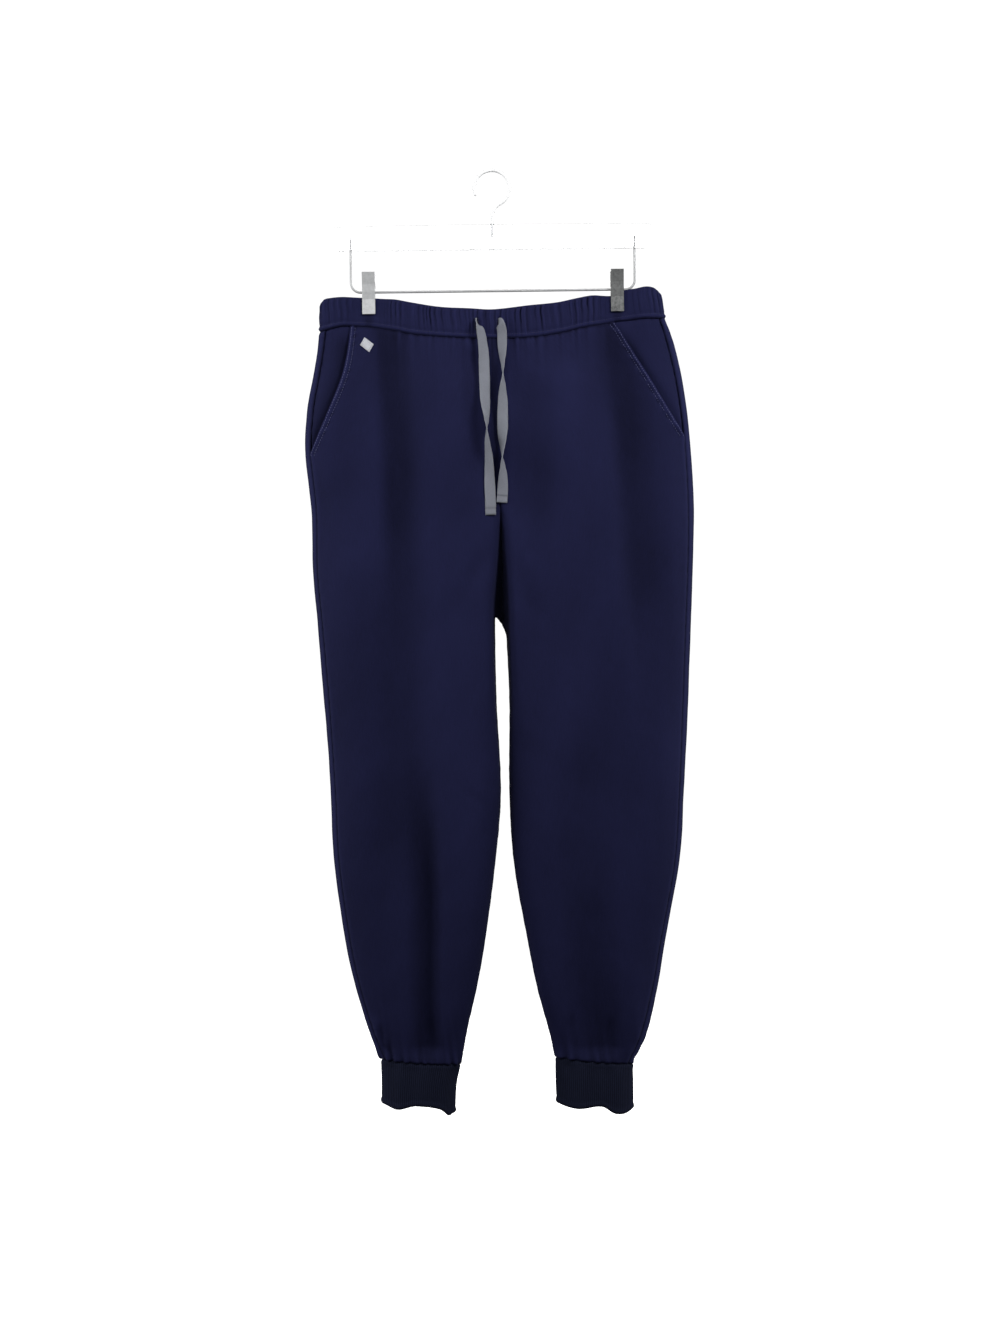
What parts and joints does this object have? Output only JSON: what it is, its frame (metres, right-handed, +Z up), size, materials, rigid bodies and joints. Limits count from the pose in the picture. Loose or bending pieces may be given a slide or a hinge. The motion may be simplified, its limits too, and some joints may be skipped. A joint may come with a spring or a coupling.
{
  "type": "scrub joggers on a clip hanger",
  "caption": "Navy scrub joggers with an elasticated drawstring waistband, slanted pockets and rib-knit cuffs, hung by the band from a clear bar hanger with clips.",
  "frame": {"origin": "the inside top of the hanger's hook, where a rail carries it", "axes": "+Z up, -Y the front of the joggers, +X the wearer's left"},
  "size_m": [0.4795, 0.1062, 1.1721],
  "materials": {
    "navy_cloth": "smooth matte stretch twill",
    "rib_knit": "fine ribbed knit",
    "tape": "flat woven tape",
    "label": "plain woven label",
    "clear_plastic": "clear polished plastic",
    "bright_steel": "bright plated wire",
    "clip_steel": "satin plated sheet"
  },
  "bodies": {
    "root": {"front_right_upper": "navy_cloth", "front_right_lower": "navy_cloth", "front_left_upper": "navy_cloth", "front_left_lower": "navy_cloth", "back_right_upper": "navy_cloth", "back_right_lower": "navy_cloth", "back_left_upper": "navy_cloth", "back_left_lower": "navy_cloth", "pocket_facing_right": "navy_cloth", "pocket_facing_left": "navy_cloth", "waistband_front": "navy_cloth", "waistband_back": "navy_cloth", "cuff_right": "rib_knit", "cuff_left": "rib_knit", "drawstring_right": "tape", "drawstring_left": "tape", "label": "label", "hanger_bar": "clear_plastic", "hanger_hook": "bright_steel", "hanger_wire": "bright_steel", "clip_jaw_front_right": "clip_steel", "clip_jaw_back_right": "clip_steel", "clip_spring_right": "bright_steel", "clip_jaw_front_left": "clip_steel", "clip_jaw_back_left": "clip_steel", "clip_spring_left": "bright_steel"}
  },
  "joints": []
}
